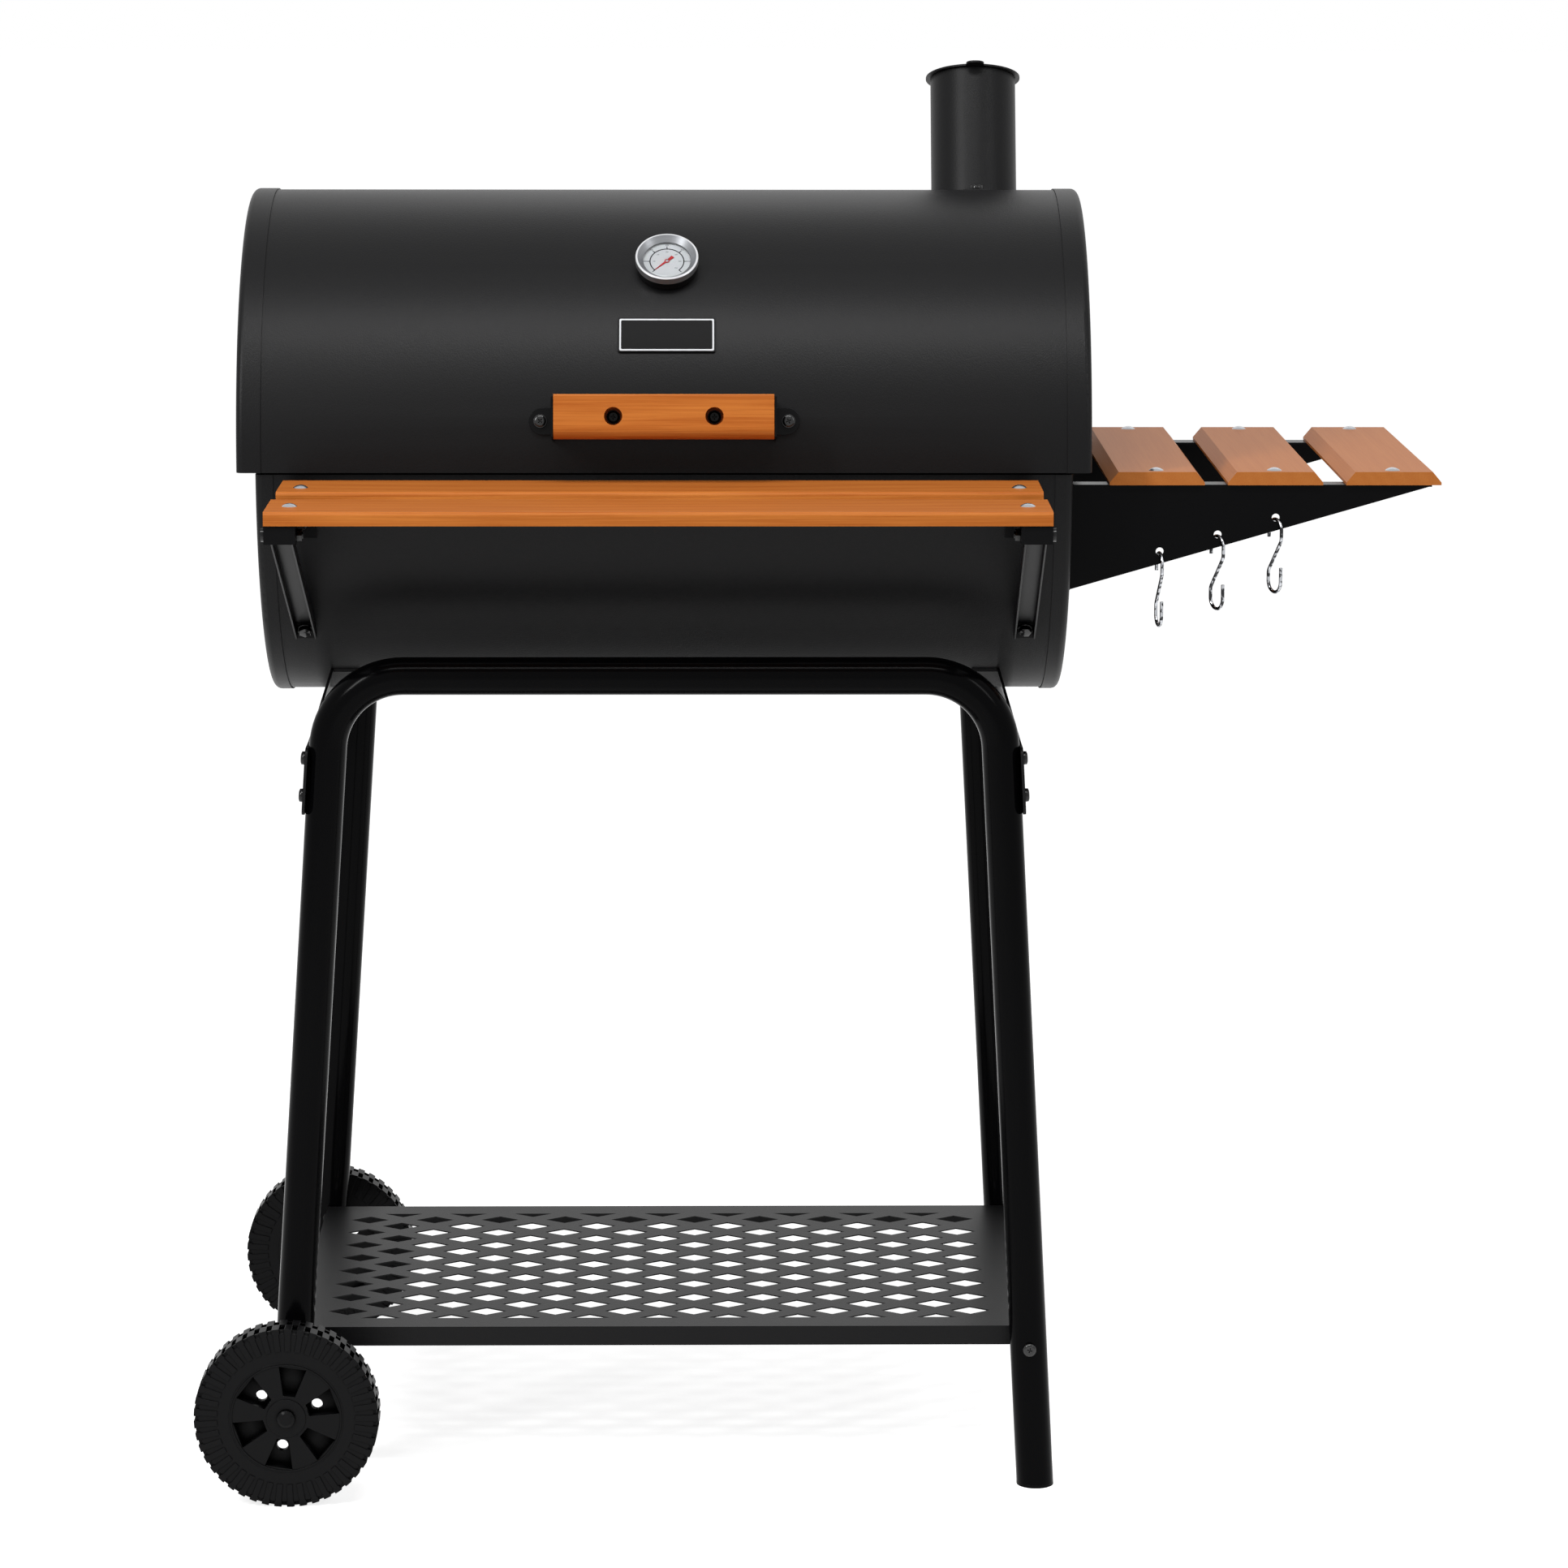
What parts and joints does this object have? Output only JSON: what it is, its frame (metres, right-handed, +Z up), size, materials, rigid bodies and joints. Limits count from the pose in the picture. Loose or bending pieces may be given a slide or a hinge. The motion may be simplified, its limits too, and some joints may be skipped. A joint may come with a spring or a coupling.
{
  "type": "barrel charcoal grill",
  "caption": "Barrel charcoal grill on a wheeled tube cart, with a hinged lid, chimney, slatted front and side tables, hooks and a pierced lower shelf.",
  "frame": {"origin": "on the floor at the centre of the footprint", "axes": "+X to the grill's right as seen from the front, towards the side table; +Y to the back, towards the lid hinges; +Z up"},
  "size_m": [1.1292, 0.772, 1.2888],
  "materials": {
    "black_coat": "satin heat-resistant powder coat with a fine grain",
    "tube_paint": "gloss black tube paint",
    "stained_wood": "stained and lacquered",
    "chrome_wire": "bright",
    "zinc_steel": "zinc plated",
    "chrome_trim": "bright",
    "clear_glass": "clear",
    "dial_face": "matt light grey",
    "red_needle": "gloss red",
    "stem_steel": "plain",
    "plate_silver": "black panel inside a silver border",
    "tyre_rubber": "matt moulded",
    "black_plastic": "moulded",
    "grate_enamel": "black enamel",
    "black_steel": "black oxide"
  },
  "bodies": {
    "frame": {"arch_front_left": "tube_paint", "arch_front_right": "tube_paint", "arch_rear_left": "tube_paint", "arch_rear_right": "tube_paint", "axle": "black_steel", "axle_caps": "black_plastic", "back_slat": "stained_wood", "cart_screws": "black_steel", "drum_end_left": "black_coat", "drum_end_right": "black_coat", "drum_hinge_leaves": "black_coat", "drum_shell": "black_coat", "foot_caps": "black_plastic", "foot_legs": "tube_paint", "frame_bolts": "black_steel", "front_slat": "stained_wood", "grate_1": "grate_enamel", "grate_2": "grate_enamel", "grate_3": "grate_enamel", "grate_rests": "black_coat", "hinge_pins": "black_steel", "pan_rests": "black_coat", "saddle_left": "black_coat", "saddle_right": "black_coat", "shelf": "black_coat", "side_bracket_front": "black_coat", "side_bracket_rear": "black_coat", "side_slat_1": "stained_wood", "side_slat_2": "stained_wood", "side_slat_3": "stained_wood", "table_arms": "black_coat", "table_bolts": "zinc_steel", "table_struts": "black_coat", "wheel_legs": "tube_paint"},
    "lid": {"badge_plate": "plate_silver", "chimney_tube": "black_coat", "handle_bar": "stained_wood", "handle_strap": "black_coat", "lid_end_left": "black_coat", "lid_end_right": "black_coat", "lid_hinge_leaves": "black_coat", "lid_screws": "black_steel", "lid_shell": "black_coat", "thermometer_bezel": "chrome_trim", "thermometer_case": "black_coat", "thermometer_dial": "dial_face", "thermometer_glass": "clear_glass", "thermometer_stem": "stem_steel"},
    "chimney_cap": {"chimney_cap": "black_coat"},
    "needle": {"thermometer_needle": "red_needle"},
    "wheel_front": {"tyre_front": "tyre_rubber", "wheel_hub_front": "black_plastic"},
    "wheel_rear": {"tyre_rear": "tyre_rubber", "wheel_hub_rear": "black_plastic"},
    "hook_1": {"hook_1": "chrome_wire"},
    "hook_2": {"hook_2": "chrome_wire"},
    "hook_3": {"hook_3": "chrome_wire"},
    "charcoal_pan": {"charcoal_pan": "black_coat"},
    "air_damper": {"air_damper": "black_coat"}
  },
  "joints": [
    {"name": "lid_hinge", "type": "hinge", "parent": "frame", "child": "lid", "pos_m": [-0.1364, 0.324, 0.937], "axis": [-1, 0, 0], "range_deg": [0, 95]},
    {"name": "front_wheel_spin", "type": "hinge", "parent": "frame", "child": "wheel_front", "pos_m": [-0.4809, -0.19735, 0.0837], "axis": [0, 1, 0], "continuous": true},
    {"name": "rear_wheel_spin", "type": "hinge", "parent": "frame", "child": "wheel_rear", "pos_m": [-0.4809, 0.36535, 0.0837], "axis": [0, 1, 0], "continuous": true},
    {"name": "chimney_cap_swivel", "type": "hinge", "parent": "lid", "child": "chimney_cap", "pos_m": [0.1526, 0.2321, 1.2582], "axis": [0, 0.342, 0.9397], "range_deg": [-100, 100]},
    {"name": "thermometer_needle_turn", "type": "hinge", "parent": "lid", "child": "needle", "pos_m": [-0.1344, -0.07145, 1.11471], "axis": [0, 0.6626, -0.749], "range_deg": [0, 270]},
    {"name": "charcoal_pan_lift", "type": "slide", "parent": "frame", "child": "charcoal_pan", "axis": [0, 0, 1], "range_m": [0, 0.035]},
    {"name": "air_damper_turn", "type": "hinge", "parent": "frame", "child": "air_damper", "pos_m": [-0.5009, 0.084, 0.835], "axis": [-1, 0, 0], "range_deg": [0, 45]},
    {"name": "hook_1_swing", "type": "hinge", "parent": "frame", "child": "hook_1", "pos_m": [0.311, -0.088, 0.85771], "axis": [0, 1, 0], "range_deg": [-25, 25]},
    {"name": "hook_2_swing", "type": "hinge", "parent": "frame", "child": "hook_2", "pos_m": [0.3633, -0.088, 0.87312], "axis": [0, 1, 0], "range_deg": [-25, 25]},
    {"name": "hook_3_swing", "type": "hinge", "parent": "frame", "child": "hook_3", "pos_m": [0.4156, -0.088, 0.88852], "axis": [0, 1, 0], "range_deg": [-25, 25]}
  ]
}
